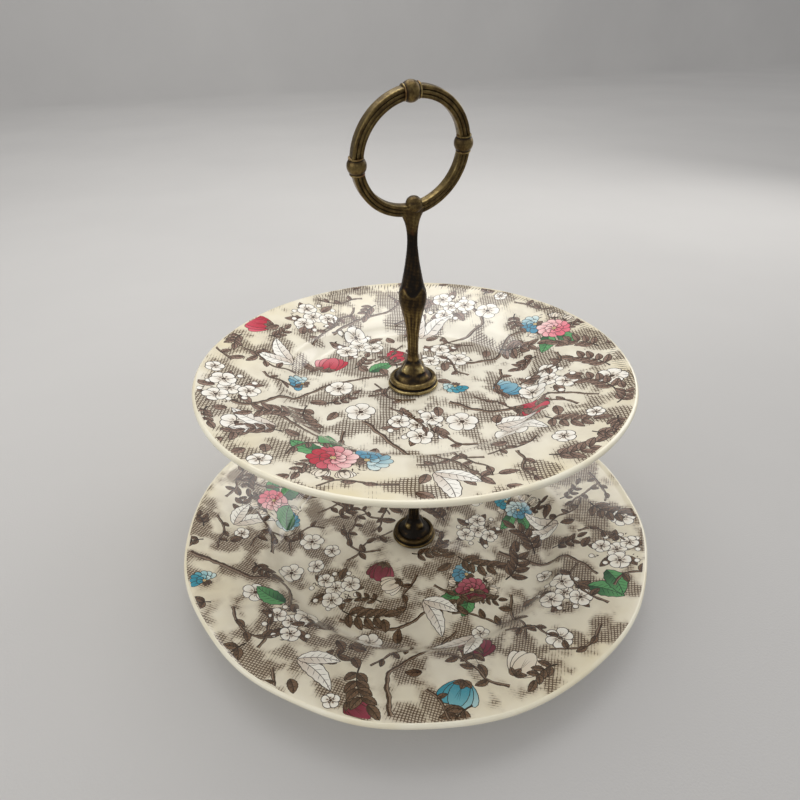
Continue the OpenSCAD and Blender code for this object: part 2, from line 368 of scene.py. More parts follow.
class Sheet:
    """A print drawn flat, in millimetres, as complex numbers. A later shape covers an
    earlier one, and the tint of a shape runs from one ink to the other."""

    def __init__(self, form, seed, brown, dark):
        self.form, self.shapes, self.sizes, self.spots = form, [], [], []
        self.brown, self.dark = brown, dark
        self.rng = random.Random(seed)

    def shape(self, points, ink, ink_end=None, start=0j, end=1 + 0j):
        r, hole_margin, rim_margin, speck = np.abs(points), 1.5, 0.7, 0.006
        inner, outer = self.form.hole_r + hole_margin, self.form.rim_r - rim_margin
        if r.max() < inner or r.min() > outer:
            return
        points = points * np.clip(r, inner, outer) / np.maximum(r, 1e-6)
        size = (np.conj(points) * np.roll(points, -1)).imag.sum() / 2
        if abs(size) < speck:
            return
        self.sizes.append(abs(size))
        points = points if size > 0 else points[::-1]
        self.shapes.append((points, ink, ink_end or ink, start, end))

    def edged(self, points, ink, ink_end=None, start=0j, end=1 + 0j, line=0.32, line_ink=LINE):
        self.shape(grown(points, line), line_ink)
        self.shape(points, ink, ink_end, start, end)

    def sliver(self, a, b, width, ink):
        side = 1j * (b - a) / max(abs(b - a), 1e-9) * width / 2
        self.shape(np.array([a - side * 0.4, a + 0.5 * (b - a) - side, b, a + 0.5 * (b - a) + side,
                             a + side * 0.4]), ink)

    def ribbon(self, path, width, ink):
        run = np.gradient(path)
        side = 1j * run / np.maximum(np.abs(run), 1e-9) * width / 2
        self.shape(np.concatenate([path - side, (path + side)[::-1]]), ink)


def petal_outline(at, angle, inner, outer, half, steps=6, full=1.25):
    t = (1 - np.cos(np.pi * np.arange(steps + 1) / steps)) / 2
    spine = inner + (outer - inner) * t
    wide = half * np.sqrt(np.maximum(0, 1 - (2 * t ** full - 1) ** 2))
    return at + way(angle) * np.concatenate([spine - 1j * wide, (spine + 1j * wide)[-2:0:-1]])


def blend_ink(a, b, share):
    return tuple(x + (y - x) * share for x, y in zip(a, b))


def bloom(sheet, at, size, deep, pale, turn, petals=11, fan=2 * math.pi):
    """An open flower, tinted deep on one side and left pale on the other. With a narrower
    fan it is seen half from the side, in a cup of small leaves."""
    sheet.spots.append((at, size))
    whole = fan > 6
    count = petals if whole else int(petals * fan / 6.28) + 1
    if not whole:
        for lean in (-0.5, 0.0, 0.5):
            brown_leaf(sheet, at, turn + math.pi + lean, size * 0.55, size * 0.13, 0.1, 1)
    for ring, (n, inner, outer) in enumerate(((count, 0.22, 1.0), (count - 3, 0.10, 0.52))):
        half = size * outer * 0.92 * math.sin(fan / n / 2)
        for k in range(n):
            a = turn + fan * ((k + 0.5 * ring) / n if whole else (k + 0.5) / n - 0.5)
            a += sheet.rng.uniform(-0.05, 0.05)
            reach = size * outer * sheet.rng.uniform(0.92, 1.06)
            share = (0.5 + 0.5 * math.cos(a - turn - (0 if whole else 1.2))) ** 1.7
            tip = blend_ink(pale, deep, min(1.0, share * 1.3))
            root = blend_ink(tip, deep, 0.38)
            points = petal_outline(at, a, size * inner, reach, half, 7, 1.5)
            sheet.edged(points, root, tip, at + size * inner * way(a), points[7], 0.34,
                        blend_ink(LINE, deep, 0.2))
            for lean, far in ((-0.10, 0.7), (0.02, 0.82), (0.12, 0.66)):
                ray = way(a + lean)
                sheet.sliver(at + ray * size * (inner + 0.06), at + ray * reach * far, 0.3,
                             blend_ink(root, LINE, 0.5))
    sheet.shape(round_outline(at, 0.15 * size, 12), LINE)
    sheet.shape(round_outline(at, 0.115 * size, 12), (222, 196, 140))
    for k in range(5):
        dot = at + size * 0.06 * np.exp(2j * math.pi * k / 5)
        sheet.shape(round_outline(dot, 0.025 * size, 5), TWIG)


def blossom(sheet, at, size, turn, petals=5):
    """A small open flower left white, with a dotted brown eye."""
    sheet.spots.append((at, size))
    for k in range(petals):
        a = turn + 2 * math.pi * k / petals + sheet.rng.uniform(-0.1, 0.1)
        reach = size * sheet.rng.uniform(0.9, 1.08)
        points = petal_outline(at, a, size * 0.12, reach, size * 0.46 * 5 / petals, 7, 1.5)
        sheet.edged(points, blend_ink(WHITE, CREAM, 0.7), WHITE, at, points[7], 0.36)
        for lean in (-0.2, -0.05, 0.08, 0.22):
            ray = way(a + lean)
            far = at + ray * size * sheet.rng.uniform(0.45, 0.66)
            sheet.sliver(at + ray * size * 0.22, far, 0.24, blend_ink(BARK, WHITE, 0.1))
    sheet.shape(round_outline(at, 0.18 * size, 9), TWIG)
    for k in range(7):
        dot = at + size * 0.30 * way(turn + 0.5 + 2 * math.pi * k / 7)
        sheet.shape(round_outline(dot, 0.05 * size, 4), TWIG)


def leaf(sheet, at, angle, length, half, fill, shade, bend=0.12, veins=5, line=0.34, ink=LINE):
    """A pointed leaf with a shaded half, a midrib and side veins."""
    steps = 11
    t = np.arange(steps + 1) / steps
    spine = length * t + 1j * bend * length * 4 * t * (1 - t) * 0.5
    wide = half * np.sin(np.pi * t ** 0.82) ** 0.8 * (1 + 0.12 * (np.arange(steps + 1) % 2))
    turn = way(angle)
    right, left = at + turn * (spine - 1j * wide), at + turn * (spine + 1j * wide)
    line_at = at + turn * spine
    sheet.edged(np.concatenate([right, left[-2:0:-1]]), fill, None, 0j, 1 + 0j, line, ink)
    sheet.shape(np.concatenate([right, line_at[-2:0:-1]]), shade, fill, line_at[0], line_at[-1])
    for k in range(veins):
        s = (k + 0.8) / (veins + 0.6)
        root = at + turn * np.interp(s, t, spine.real) + turn * 1j * np.interp(s, t, spine.imag)
        for hand in (-1, 1):
            reach = 0.84 * half * math.sin(math.pi * s ** 0.8)
            sheet.sliver(root, root + turn * (reach * 0.8 + hand * 1j * reach), 0.30,
                         blend_ink(shade, ink, 0.65))
    sheet.ribbon(line_at, 0.34, ink)


def brown_leaf(sheet, at, angle, length, half, bend=0.12, veins=3, line=0.3):
    leaf(sheet, at, angle, length, half, sheet.brown, sheet.dark, bend, veins, line)


def green_leaf(sheet, at, angle, length, half, bend=0.14, veins=7):
    leaf(sheet, at, angle, length, half, GREEN, GREEN_SHADE, bend, veins, 0.36, GREEN_LINE)


def bud(sheet, at, angle, length, deep, pale):
    """A closed flower: pointed petals wrapped over each other, in a small brown cup."""
    sheet.spots.append((at + 0.5 * length * way(angle), length * 0.5))
    for lean, wide in ((0.62, 0.22), (-0.62, 0.22), (0.32, 0.25), (-0.32, 0.25), (0.0, 0.28)):
        reach = length * (1 - 0.10 * abs(lean))
        points = petal_outline(at, angle + lean, 0, reach, length * wide, 7, 0.9)
        share = 0.5 - 0.5 * lean / 0.62
        tint = blend_ink(pale, deep, 0.25 + 0.75 * share)
        sheet.edged(points, deep, tint, at, points[7], 0.34, blend_ink(LINE, deep, 0.2))
        for hand in (-0.10, 0.02, 0.12):
            sheet.sliver(at + length * 0.2 * way(angle + lean * 0.8), at + length * 0.74
                         * way(angle + lean * 0.9 + hand), 0.28, blend_ink(deep, LINE, 0.4))
    for lean in (-0.9, 0.0, 0.9):
        brown_leaf(sheet, at - length * 0.06 * way(angle), angle + lean, length * 0.34,
                   length * 0.09, 0.1, 1, 0.28)


def smooth_path(stations, step=1.3):
    """A curve drawn through its stations."""
    points = np.array(stations, complex)
    ends = np.concatenate([[2 * points[0] - points[1]], points, [2 * points[-1] - points[-2]]])
    path = []
    for i in range(1, len(ends) - 2):
        a, b, c, d = ends[i - 1:i + 3]
        t = np.arange(0, 1, step / max(abs(c - b), step))
        path.append(0.5 * (2 * b + (c - a) * t + (2 * a - 5 * b + 4 * c - d) * t ** 2
                           + (3 * b - a - 3 * c + d) * t ** 3))
    return np.concatenate(path + [points[-1:]])


def branch(sheet, stations, width, knots=0.5):
    """A wandering branch: a dark edge, a mid brown core and a shaded side cut in short strokes."""
    path = smooth_path(stations)
    run = np.gradient(path)
    side = 1j * run / np.maximum(np.abs(run), 1e-9)
    wander = np.array([noise.noise(Vector((p.real / 7, p.imag / 7, 2.0))) for p in path])
    path = path + side * wander * knots * 2
    taper = np.linspace(1.0, 0.45, len(path)) * (1 + 0.25 * np.cos(np.arange(len(path)) * 1.7))
    sheet.ribbon(path, width * taper + 0.6, LINE)
    sheet.ribbon(path, width * taper, blend_ink(BARK, CREAM, 0.25))
    sheet.ribbon(path + side * width * taper * 0.24, width * taper * 0.45, TWIG)
    for k in range(1, len(path) - 1, 2):
        sheet.sliver(path[k] + side[k] * width * 0.4 * taper[k],
                     path[k] - side[k] * width * 0.32 * taper[k] + run[k] * 0.3, 0.24, LINE)
    sheet.spots += [(p, width) for p in path[::4]]


def spray(sheet, at, angle, length, leaf_length, pairs=3, curl=0.5):
    """A twig with small leaves in pairs and one at its tip."""
    t = np.linspace(0, 1, 9)
    twig = at + length * way(angle) * t * way(curl * t)
    sheet.ribbon(twig, 0.7 * (1.3 - t), LINE)
    sheet.spots.append((twig[4], length * 0.35))
    for k in range(pairs):
        s = (k + 1) / (pairs + 1)
        root = at + length * s * way(angle + curl * s)
        for hand in (-1, 1):
            brown_leaf(sheet, root, angle + 1.6 * curl * s + hand * sheet.rng.uniform(0.6, 1.0),
                       leaf_length * sheet.rng.uniform(0.8, 1.1), leaf_length * 0.21, 0.12 * hand, 3, 0.32)
    brown_leaf(sheet, twig[-1], angle + 1.7 * curl, leaf_length * 1.1, leaf_length * 0.23, 0.1, 3, 0.32)


def wandering(sheet, at, turn, length, width):
    """A thin branch that winds over the bare ground, with a few small leaves."""
    stations = [at]
    for _ in range(4):
        turn += sheet.rng.uniform(-0.9, 0.9)
        stations.append(stations[-1] + length / 4 * way(turn))
    branch(sheet, stations, width, 0.35)
    for stem in stations[1:4]:
        brown_leaf(sheet, stem, turn + sheet.rng.uniform(-1.6, 1.6), length * 0.17, length * 0.04)


def speckled(sheet, at, size, count):
    """The dark ground of small strokes that sets off a group of flowers."""
    for _ in range(count):
        place = at + size * math.sqrt(sheet.rng.random()) * np.exp(2j * math.pi * sheet.rng.random())
        long, turn = sheet.rng.uniform(0.6, 1.7), np.exp(2j * math.pi * sheet.rng.random())
        sheet.shape(place + turn * np.array([-long, -0.4j, long, 0.4j]), blend_ink(LINE, BARK, 0.3))


def cluster(sheet, at, turn, size, count=4):
    """White flowers crowded together, with round buds and leaves between them."""
    speckled(sheet, at, size * 2.4, 60)
    for k in range(count + 1):
        a = turn + 2 * math.pi * k / (count + 1)
        brown_leaf(sheet, at + size * 1.2 * way(a + 0.5), a + 0.5, size * 1.6, size * 0.34, 0.14, 3, 0.34)
    for k in range(9):
        a = turn + 2 * math.pi * k / 9
        ball = at + size * sheet.rng.uniform(1.7, 2.5) * way(a)
        sheet.edged(round_outline(ball, size * 0.24, 9), WHITE, CREAM, ball, ball + size * 0.3, 0.36)
        sheet.spots.append((ball, 2.0))
    for k in range(count):
        a = turn + 2 * math.pi * k / max(1, count - 1)
        off = 0 if k == 0 else size * 1.5
        blossom(sheet, at + off * way(a), size * sheet.rng.uniform(0.82, 1.08), a + 0.4)


def posy(sheet, at, turn, deep, pale, second, second_pale, size):
    """The repeating group: a tinted flower, a second one half from the side, two green leaves
    and white buds."""
    speckled(sheet, at, size * 1.7, 50)
    spray(sheet, at + size * 0.6 * way(turn - 2.4), turn - 2.2, size * 1.3, size * 0.5)
    for lean, reach in ((2.2, 2.0), (2.95, 1.6)):
        green_leaf(sheet, at + size * 0.75 * way(turn + lean), turn + lean + 0.1, size * reach,
                   size * 0.40, 0.12, 6)
    for lean in (-1.5, -0.8, 1.45):
        bud(sheet, at + size * 0.95 * way(turn + lean), turn + lean, size * 0.62, CREAM, WHITE)
    bloom(sheet, at + size * 1.1 * way(turn + 0.5), size * 0.95, second, second_pale,
          turn + 0.9, 12, 3.6)
    bloom(sheet, at - size * 0.2 * way(turn), size, deep, pale, turn + 3.6)


def long_leaves(sheet, at, turn, length):
    """Pointed leaves left white, in a loose pair, with a brown sprig behind them."""
    spray(sheet, at, turn + 0.3, length * 1.0, length * 0.3)
    for lean, part in ((-0.35, 1.0), (0.45, 0.8)):
        leaf(sheet, at, turn + lean, length * part, length * 0.15, WHITE, (214, 200, 184), 0.16, 6, 0.36)
    sheet.spots.append((at + length * 0.5 * way(turn), length * 0.4))


def scattered(sheet, tries, gap, draw, inner, outer):
    """Draws a motif wherever there is still bare ground for it."""
    for _ in range(tries):
        r = math.sqrt(sheet.rng.uniform(inner ** 2, outer ** 2))
        at = r * np.exp(2j * math.pi * sheet.rng.random())
        if all(abs(at - spot) > gap + size * 0.8 for spot, size in sheet.spots):
            sheet.spots.append((at, gap * 0.5))
            draw(at, 2 * math.pi * sheet.rng.random())


def printed_face(name, sheet, body, node, finish, drift_at, rings_of, grid=2.2):
    """Lays a print on its plate: one skin of flat inked facets on the plate's own curve, cut
    into rings (name, outer radius) only so that each piece stays under 200,000 triangles."""
    form = sheet.form
    points, faces = [], []
    rings = np.concatenate([np.arange(form.hole_r + grid, form.well_r, grid),
                            np.arange(form.well_r, form.well_r + form.verge_w, 1.1),
                            np.arange(form.well_r + form.verge_w, form.rim_r - 0.3, grid)])
    for r in rings:
        count = int(2 * math.pi * r / grid)
        points.append(r * np.exp(2j * np.pi * (np.arange(count) + 0.37 * (count % 3)) / count))
    points.append(form.rim_r * np.exp(2j * np.pi * np.arange(360) / 360))
    points.append(form.hole_r * np.exp(2j * np.pi * np.arange(360) / 360))
    total = sum(map(len, points))
    for shape in sheet.shapes:
        faces.append(list(range(total, total + len(shape[0]))))
        points.append(shape[0])
        total += len(shape[0])
    flat = np.concatenate(points)
    flat, _, tris, _, _, owners = delaunay_2d_cdt(
        [Vector((p.real, p.imag)) for p in flat], [], faces, 0, 1e-4, True)
    flat = np.array([(p[0], p[1]) for p in flat])
    r = np.hypot(flat[:, 0], flat[:, 1])
    tris = np.array(tris)
    a, b, c = flat[tris[:, 0]], flat[tris[:, 1]], flat[tris[:, 2]]
    area = ((b[:, 0] - a[:, 0]) * (c[:, 1] - a[:, 1]) - (b[:, 1] - a[:, 1]) * (c[:, 0] - a[:, 0])) / 2
    tris[area < 0] = tris[area < 0][:, ::-1]
    # a shape that crosses itself can claim ground outside its outline: that ground is taken back
    facet = np.repeat(np.arange(len(tris)), [len(o) for o in owners])
    shape_of = np.array([k for o in owners for k in o], int)
    claimed = np.bincount(shape_of, np.abs(area)[facet], len(sheet.shapes))
    held = np.ones(len(facet), bool)
    middle = flat[tris].mean(1)
    too_much, slack = 1.15, 0.02
    for k in np.nonzero(claimed > too_much * np.array(sheet.sizes) + slack)[0]:
        mine = np.nonzero(shape_of == k)[0]
        spot = middle[facet[mine]]
        ends = sheet.shapes[k][0]
        x0, y0, x1, y1 = ends.real, ends.imag, np.roll(ends, -1).real, np.roll(ends, -1).imag
        crosses = (y0 > spot[:, 1:]) != (y1 > spot[:, 1:])
        reach = (x1 - x0) * (spot[:, 1:] - y0) / np.where(y1 == y0, 1e-9, y1 - y0) + x0
        held[mine] = (crosses & (spot[:, :1] < reach)).sum(1) % 2 == 1
    top = np.full(len(tris), -1)
    np.maximum.at(top, facet[held], shape_of[held])
    keep = (r[tris].max(1) > form.hole_r + 0.05) & (np.abs(area) > 1e-7)
    tris, top = tris[keep], top[keep]
    height = form.top(r)
    x, y, z = form.settle(flat[:, 0], flat[:, 1], height)
    places = np.stack([x, y, z], 1) / 1000
    # the inks, mixed at each corner of each facet
    corners = flat[tris]
    inks = np.zeros((len(tris), 3, 4))
    shapes = sheet.shapes
    near = np.array([dye(*s[1])[:3] for s in shapes])
    far = np.array([dye(*s[2])[:3] for s in shapes])
    begin, finish_at = np.array([s[3] for s in shapes]), np.array([s[4] for s in shapes])
    inked = top >= 0
    k = top[inked]
    spots = corners[inked][..., 0] + 1j * corners[inked][..., 1]
    span = (finish_at - begin)[k][:, None]
    share = ((spots - begin[k][:, None]) * np.conj(span)).real
    share = ease(share / np.maximum(np.abs(span) ** 2, 1e-9))
    inks[inked, :, :3] = near[k][:, None] + (far - near)[k][:, None] * share[..., None]
    inks[inked, :, 3] = 1
    # where the hatching gathers: round the motifs, and in drifts of its own
    tree = KDTree(len(sheet.spots))
    for i, (spot, size) in enumerate(sheet.spots):
        tree.insert((spot.real, spot.imag, 0), i)
    tree.balance()
    tones = np.ones((len(flat), 4))
    for i, (px, py) in enumerate(flat):
        _, found, distance = tree.find((px, py, 0))
        tones[i, :3] = drift_at(px, py, distance - sheet.spots[found][1])
    # the plate's own slope as the shading normal, so no facet shows in the glaze
    reach, lip_w, lip_share = 2.5, 1.2, 0.3
    slope = (form.top(r + reach) - form.top(np.maximum(r - reach, 0))) / (2 * reach)
    slope = np.where(r > form.rim_r - lip_w, slope * lip_share, slope)
    ups = np.stack([-slope * flat[:, 0] / r, -slope * flat[:, 1] / r, np.ones(len(r))], 1)
    ups /= np.linalg.norm(ups, axis=1)[:, None]
    facet_r, inner = r[tris].mean(1), 0
    for ring, outer in rings_of:
        mine = (facet_r >= inner) & (facet_r < outer)
        used, ends = np.unique(tris[mine], return_inverse=True)
        mesh = bpy.data.meshes.new(name + "_" + ring)
        mesh.from_pydata(places[used].tolist(), [], ends.reshape(-1, 3).tolist())
        piece = bpy.data.objects.new(mesh.name, mesh)
        bpy.context.scene.collection.objects.link(piece)
        layer = mesh.color_attributes.new("ink", "FLOAT_COLOR", "CORNER")
        layer.data.foreach_set("color", inks[mine].ravel())
        layer = mesh.color_attributes.new("drift", "FLOAT_COLOR", "POINT")
        layer.data.foreach_set("color", tones[used].ravel())
        mark_rim(piece, form)
        mesh.shade_smooth()
        mesh.normals_split_custom_set_from_vertices(ups[used].tolist())
        dress(piece, body, finish)
        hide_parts(node)
        inner = outer


def mark_rim(piece, form):
    """Marks how far out each point lies, from the well to the rim, for the staining."""
    points = np.empty(len(piece.data.vertices) * 3)
    piece.data.vertices.foreach_get("co", points)
    r = np.hypot(*points.reshape(-1, 3).T[:2]) * 1000
    layer = piece.data.attributes.new("rim", "FLOAT", "POINT")
    layer.data.foreach_set("value", np.clip((r - form.well_r) / (form.rim_r - form.well_r), 0, 1))


def cloud_at(x, y, size, layer):
    return noise.fractal(Vector((x / size, y / size, layer)), 0.8, 2.0, 3)


def held(value):
    return min(1.0, max(0.0, value))


lower_form = PlateForm("lower_plate", 74, 13, 7.5, 9.6, 12, 0.7)
lower_sheet = Sheet(lower_form, 11, (112, 87, 67), (66, 47, 34))
for stations, width in (
        ((polar(124, 170), polar(108, 175), polar(96, 181), polar(80, 186), polar(87, 200)), 2.2),
        ((polar(71, 212), polar(68, 228), polar(64, 240), polar(52, 254)), 1.8),
        ((polar(50, 318), polar(74, 316), polar(88, 317), polar(104, 310)), 2.0),
        ((polar(122, 240), polar(100, 238), polar(84, 248), polar(70, 262)), 1.7),
        ((polar(30, 20), polar(52, 30), polar(78, 26), polar(104, 34)), 2.0),
        ((polar(118, 80), polar(98, 88), polar(76, 82), polar(56, 92)), 2.0),
        ((polar(40, 130), polar(64, 124), polar(86, 130), polar(110, 120)), 1.8)):
    branch(lower_sheet, stations, width)
posy(lower_sheet, polar(87, 143), 4.6, PINK, PALE_PINK, BLUE, PALE_BLUE, 9.0)
posy(lower_sheet, polar(50, 283), 0.9, BURGUNDY, ROSE, BLUE, PALE_BLUE, 8.5)
posy(lower_sheet, polar(68, 354), 1.4, BLUE, PALE_BLUE, TURQUOISE, PALE_BLUE, 8.0)
posy(lower_sheet, polar(95, 60), 3.0, CARMINE, PALE_PINK, BLUE, PALE_BLUE, 9.0)
posy(lower_sheet, polar(60, 105), 5.0, BURGUNDY, ROSE, TURQUOISE, PALE_BLUE, 8.0)
bloom(lower_sheet, polar(118, 180), 7, TURQUOISE, PALE_BLUE, 2.0, 12, 3.4)
bud(lower_sheet, polar(28, 208), 4.0, 13, BURGUNDY, ROSE)
bud(lower_sheet, polar(36, 232), 3.2, 11, CREAM, WHITE)
bud(lower_sheet, polar(92, 260), 0.6, 15, BURGUNDY, ROSE)
bud(lower_sheet, polar(106, 256), 3.9, 15, TURQUOISE, PALE_BLUE)
bud(lower_sheet, polar(110, 268), 0.4, 15, CREAM, WHITE)
bud(lower_sheet, polar(119, 231), 5.2, 12, BURGUNDY, ROSE)
for r, degrees in ((58, 198), (92, 300), (112, 320), (92, 204), (38, 340), (46, 55), (112, 100), (88, 14)):
    cluster(lower_sheet, polar(r, degrees), math.radians(degrees * 3), 5.4)
for r, degrees in ((97, 188), (118, 332), (60, 160), (78, 228), (106, 284), (74, 178)):
    blossom(lower_sheet, polar(r, degrees), 6.5, math.radians(degrees), 6)
for r, degrees, turn in ((87, 196, 2.2), (101, 305, 5.2), (108, 312, 4.4), (76, 152, 1.2), (72, 45, 2.0)):
    green_leaf(lower_sheet, polar(r, degrees), turn, 18, 4.6)
for r, degrees, turn in ((107, 215, 5.4), (76, 268, 3.4), (104, 158, 0.4), (84, 335, 2.2), (48, 250, 5.0)):
    long_leaves(lower_sheet, polar(r, degrees), turn, 24)
for r, degrees, turn in ((105, 341, 4.6), (119, 256, 3.2), (98, 230, 4.0), (116, 203, 3.4), (30, 300, 5.0),
                         (70, 322, 1.0), (60, 300, 0.2), (66, 210, 5.2)):
    spray(lower_sheet, polar(r, degrees), turn, 22, 8.5, pairs=4)
scattered(lower_sheet, 400, 7.5, lambda at, turn: wandering(
    lower_sheet, at, turn, lower_sheet.rng.uniform(26, 38), 1.1), 16, 118)
scattered(lower_sheet, 500, 7.0, lambda at, turn: spray(
    lower_sheet, at, turn, lower_sheet.rng.uniform(11, 17), lower_sheet.rng.uniform(4.5, 7)), 14, 120)
scattered(lower_sheet, 400, 6.5, lambda at, turn: blossom(
    lower_sheet, at, lower_sheet.rng.uniform(3.6, 5.2), turn), 14, 121)
scattered(lower_sheet, 500, 4.6, lambda at, turn: brown_leaf(
    lower_sheet, at, turn, lower_sheet.rng.uniform(6, 10), 2.0), 12, 122)


def lower_drift(x, y, clear):
    halo = 1 - held((clear - 1.0) / 6)
    tone = held(0.34 + 2.2 * cloud_at(x, y, 17, 3.0) + 0.40 * halo)
    side = cloud_at(x, y, 38, 8.0)
    cross = held((tone - 0.5) * 2.2)
    return (max(tone * held(0.5 + 4 * side), cross), max(tone * held(0.5 - 4 * side), cross * 0.9),
            0.62 * held(tone * 1.5 - 0.45) + 0.25 * held(halo - 0.4))


lower_glaze = glaze("lower_print_glaze", 0.7, ((48, 1.25, 0), (-42, 1.35, 1)))
printed_face("lower_plate_print", lower_sheet, "lower_tier", "lower_plate", lower_glaze, lower_drift,
             (("centre", 72), ("inner_border", 101), ("outer_border", 130)))

plain_glaze = Finish("plain_cream_glaze")
blush = plain_glaze.cloud(30.0, 4.0, 0.6)
specks = (plain_glaze.cloud(420.0, 2.0) * 6 - 4.1).held()
rubbed = plain_glaze.cloud(60.0, 5.0, 0.7)
plain_glaze.surface({
    "Base Color": plain_glaze.mix(
        plain_glaze.mix(dye(240, 235, 216), dye(222, 208, 170), (blush * 1.5 - 0.35).held()),
        dye(168, 146, 112), specks * 0.35),
    "Roughness": (0.12 + rubbed * 0.16).held(),
    "Coat Weight": 0.5, "Coat Roughness": 0.05,
    "Normal": plain_glaze.bumps(plain_glaze.cloud(90.0, 3.0), 0.5, 0.12),
})
lower_body = turned("lower_plate_body", lower_form.outline(), 360, "lower_tier",
                    plain_glaze, closed=True)
shaped(lower_body, lower_form.settle)
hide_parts("lower_plate")

# ---------------------------------------------------------------- clamp under the lower plate
# A nylon bush centres the screw in the drilled hole. Below it lie a thin rubber pad, a domed
# zinc-plated washer and the slotted clamp screw, which is driven up into the spindle's foot.


def recoloured(node, finish):
    """Gives a shape that came with the frame its finish."""
    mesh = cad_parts[node].data
    mesh.materials.clear()
    mesh.materials.append(finish.material)


nylon = Finish("natural_nylon")
nylon.surface({"Base Color": nylon.mix(dye(222, 216, 200), dye(206, 198, 178), nylon.cloud(300.0)),
               "Roughness": (0.42 + nylon.cloud(600.0) * 0.12).held(),
               "Normal": nylon.bumps(nylon.cloud(1200.0), 0.05, 0.2)})
rubber = Finish("matt_rubber")
rubber.surface({"Base Color": rubber.mix(dye(34, 33, 32), dye(52, 50, 47), rubber.cloud(500.0)),
                "Roughness": (0.72 + rubber.cloud(900.0) * 0.15).held(),
                "Normal": rubber.bumps(rubber.cloud(1600.0), 0.08, 0.4)})
zinc = Finish("zinc_plate")
spangle = zinc.cloud(700.0, 3.0, 0.6)
zinc.surface({"Base Color": zinc.mix(dye(186, 188, 186), dye(140, 142, 140), spangle), "Metallic": 1.0,
              "Roughness": (0.24 + spangle * 0.24).held(),
              "Normal": zinc.bumps(zinc.cloud(2200.0), 0.03, 0.3)})
for node, finish in (("lower_bush", nylon), ("lower_washer", zinc), ("clamp_screw", zinc)):
    recoloured(node, finish)


def soft_disc(node, body, finish, fuzz=0.06):
    """A punched disc with a worn edge, in the place that the frame gives it."""
    low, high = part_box(node)
    r, hole, bottom, top = high.x * 1000, 2.8, low.z * 1000, high.z * 1000
    soft = 0.22
    outline = [(hole + 0.1, bottom), (r * 0.5, bottom), (r - soft, bottom), (r - 0.06, bottom + 0.12),
               (r, (bottom + top) / 2), (r - 0.06, top - 0.12), (r - soft, top), (r * 0.5, top),
               (hole + 0.1, top), (hole, (bottom + top) / 2)]
    disc = turned(node + "_disc", outline, 128, body, finish, closed=True, smooth=60)

    def wear(x, y, z):
        a = np.arctan2(y, x)
        pull = 1 - fuzz / r * (0.5 + 0.5 * np.sin(17 * a) * np.sin(29 * a + 1))
        return x * pull, y * pull, z
    shaped(disc, wear)
    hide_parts(node)


soft_disc("lower_under_pad", "lower_tier", rubber, 0.03)

# ---------------------------------------------------------------- lower felt
# A disc of dark brown pressed felt, punched out, that keeps the cast foot off the glaze.

felt = Finish("brown_felt")
fibres = felt.node("ShaderNodeTexVoronoi", {"feature": "DISTANCE_TO_EDGE"},
                   {"Vector": felt.place(), "Scale": 1500.0})
felt.surface({"Base Color": felt.mix(dye(58, 38, 26), dye(92, 64, 46), felt.cloud(900.0, 4.0, 0.7)),
              "Roughness": 0.95, "Sheen Weight": 0.4,
              "Normal": felt.bumps(fibres + felt.cloud(2500.0), 0.15, 0.7)})
soft_disc("lower_felt", "lower_tier", felt)

# ---------------------------------------------------------------- spindle foot
# A cast brass foot, turned with a thin bead below and a thick one above and a sunk top, then
# darkened with age: brown in its hollows and rubbed to gold on its ridges. The spindle's foot is
# also darker all over: painted shade under the upper plate.


def worn_hollows(piece, dark=0.0, passes=10):
    """Marks hollows and ridges by how each point stands from its neighbours' mean place. dark
    is added all over, or is worked out from x, y and z in millimetres; on the spindle's parts it
    holds painted shade as well as age."""
    mesh = piece.data
    count = len(mesh.vertices)
    ends = np.empty(len(mesh.edges) * 2, int)
    mesh.edges.foreach_get("vertices", ends)
    a, b = ends.reshape(-1, 2).T
    points, normals = np.empty(count * 3), np.empty(count * 3)
    mesh.vertices.foreach_get("co", points)
    mesh.vertices.foreach_get("normal", normals)
    points, normals = points.reshape(-1, 3), normals.reshape(-1, 3)
    links = np.maximum(np.bincount(a, minlength=count) + np.bincount(b, minlength=count), 1)

    def mean(values):
        out = np.zeros_like(values)
        np.add.at(out, a, values[b])
        np.add.at(out, b, values[a])
        return out / links.reshape(-1, *([1] * (values.ndim - 1)))
    smooth = points.copy()
    for _ in range(passes):
        smooth = 0.5 * smooth + 0.5 * mean(smooth)
    depth = ((smooth - points) * normals).sum(1) * 1000
    mark = np.clip(0.5 + depth * 4.5, 0, 1)
    for _ in range(2):
        mark = 0.5 * mark + 0.5 * mean(mark)
    mark = np.clip(mark + (dark(*(points.T * 1000)) if callable(dark) else dark), 0, 1)
    layer = mesh.attributes.new("hollow", "FLOAT", "POINT")
    layer.data.foreach_set("value", mark)


aged_brass = Finish("aged_brass")
# the hollow mark: patina in the hollows, plus painted shade under the upper plate on the spindle's parts
hollow = aged_brass.mark("hollow")
mottle = aged_brass.cloud(240.0, 5.0, 0.65)
speck = aged_brass.cloud(1300.0, 3.0, 0.6)
streak = aged_brass.cloud(1.0, 4.0, 0.6, aged_brass.node(
    "ShaderNodeVectorMath", {"operation": "MULTIPLY"}, {0: aged_brass.place(), 1: (520, 520, 70)}))
patina_and_shade = (hollow * 1.25 + (mottle - 0.5) * 0.9 + (speck - 0.5) * 0.4 + (streak - 0.5) * 0.5
          - 0.12).held()
brass_tone = aged_brass.node("ShaderNodeValToRGB", {"stops": (
    (0.0, dye(178, 160, 112)), (0.26, dye(124, 106, 66)), (0.52, dye(82, 66, 38)), (0.8, dye(46, 34, 19)),
    (1.0, dye(24, 18, 11)))}, {0: patina_and_shade})
copper = ((aged_brass.cloud(140.0, 3.0) - 0.64) * 4 + aged_brass.mark("coppery") * 0.6).held() * 0.75
